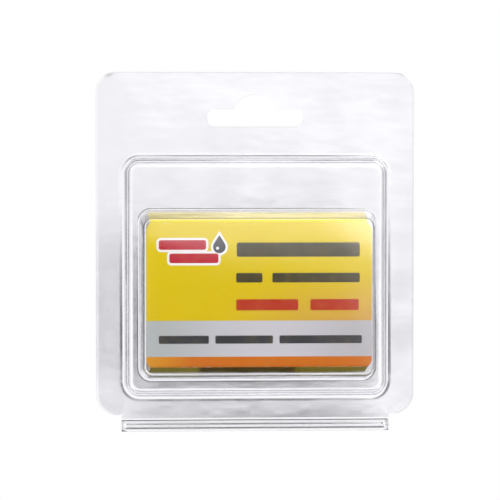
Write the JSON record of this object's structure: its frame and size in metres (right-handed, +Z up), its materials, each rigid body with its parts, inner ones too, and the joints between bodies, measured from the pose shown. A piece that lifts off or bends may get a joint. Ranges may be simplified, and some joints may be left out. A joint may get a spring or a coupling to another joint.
{
  "type": "clay bar pack",
  "caption": "Detailing clay bar in a clear folding blister pack with a hang slot, printed card sleeve and film wrap; the rear shell swings open on a rolled living hinge.",
  "frame": {"origin": "top of the hang slot's arch, in the plane where the front and rear shells meet", "axes": "+Z up as the pack hangs, -Y the front that faces the viewer, +X to the viewer's right"},
  "size_m": [0.105, 0.0238, 0.1185],
  "materials": {
    "clear_sheet": "gloss",
    "printed_card": "satin",
    "film": "gloss",
    "clay": "matte"
  },
  "bodies": {
    "front_shell": {"front_shell": "clear_sheet"},
    "rear_shell": {"rear_shell": "clear_sheet"},
    "hinge_roll": {"hinge_roll": "clear_sheet"},
    "bar_pack": {"card_sleeve": "printed_card", "film_wrap": "film", "clay_bar": "clay"}
  },
  "joints": [
    {"name": "rear_swing", "type": "hinge", "parent": "front_shell", "child": "rear_shell", "pos_m": [0, 0, -0.109], "axis": [-1, 0, 0], "range_deg": [0, 180]},
    {"name": "roll_turn", "type": "hinge", "parent": "front_shell", "child": "hinge_roll", "pos_m": [0, 0, -0.109], "axis": [-1, 0, 0], "range_deg": [0, 90]},
    {"name": "bar_slide", "type": "slide", "parent": "front_shell", "child": "bar_pack", "axis": [0, 1, 0], "range_m": [0, 0.03]}
  ],
  "couplings": [
    {"joint": "roll_turn", "follows": "rear_swing", "ratio": 0.5},
    {"joint": "bar_slide", "follows": "rear_swing", "m_per_rad": 0.0095}
  ]
}
